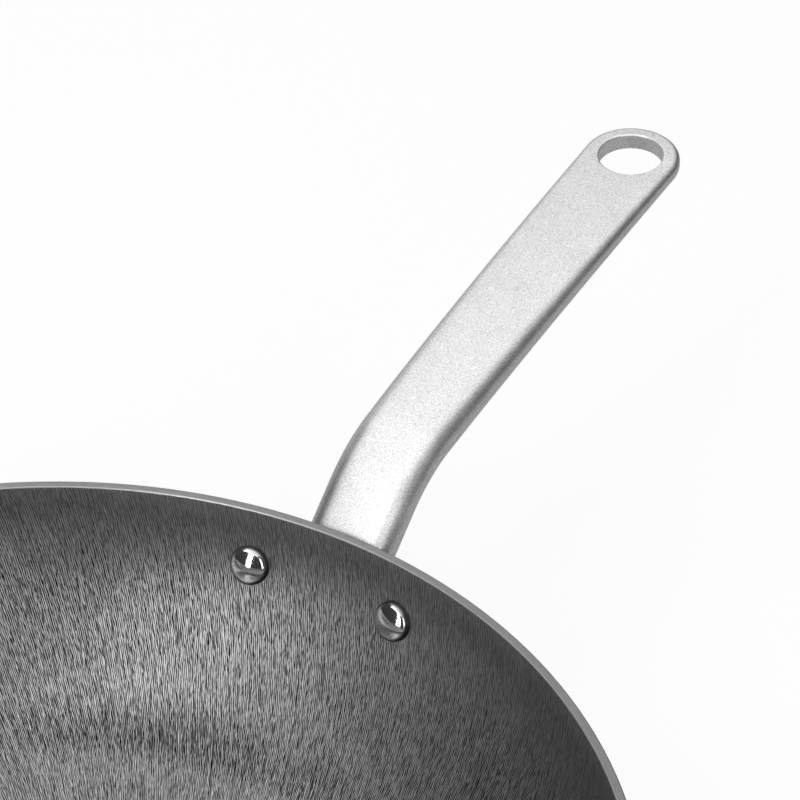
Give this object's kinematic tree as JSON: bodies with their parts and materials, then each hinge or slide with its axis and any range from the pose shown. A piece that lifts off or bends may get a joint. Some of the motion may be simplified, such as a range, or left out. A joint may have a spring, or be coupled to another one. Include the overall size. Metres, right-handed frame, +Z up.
{
  "type": "cast iron wok",
  "caption": "Round deep cast iron wok with a flat base, a flat ground lip and a riveted cast steel stick handle with a hanging hole.",
  "frame": {"origin": "centre of the flat underside of the bowl", "axes": "+Z up through the mouth of the bowl, +X along the handle, away from the bowl"},
  "size_m": [0.514, 0.32, 0.1026],
  "materials": {
    "iron": "dark bare iron, ground inside in fine curved lines, bright ground lip",
    "handle_steel": "bead-blasted satin cast stainless steel",
    "rivet_steel": "polished stainless steel"
  },
  "bodies": {
    "root": {"wok_body": "iron", "handle": "handle_steel", "rivet_left": "rivet_steel", "rivet_right": "rivet_steel"}
  },
  "joints": []
}
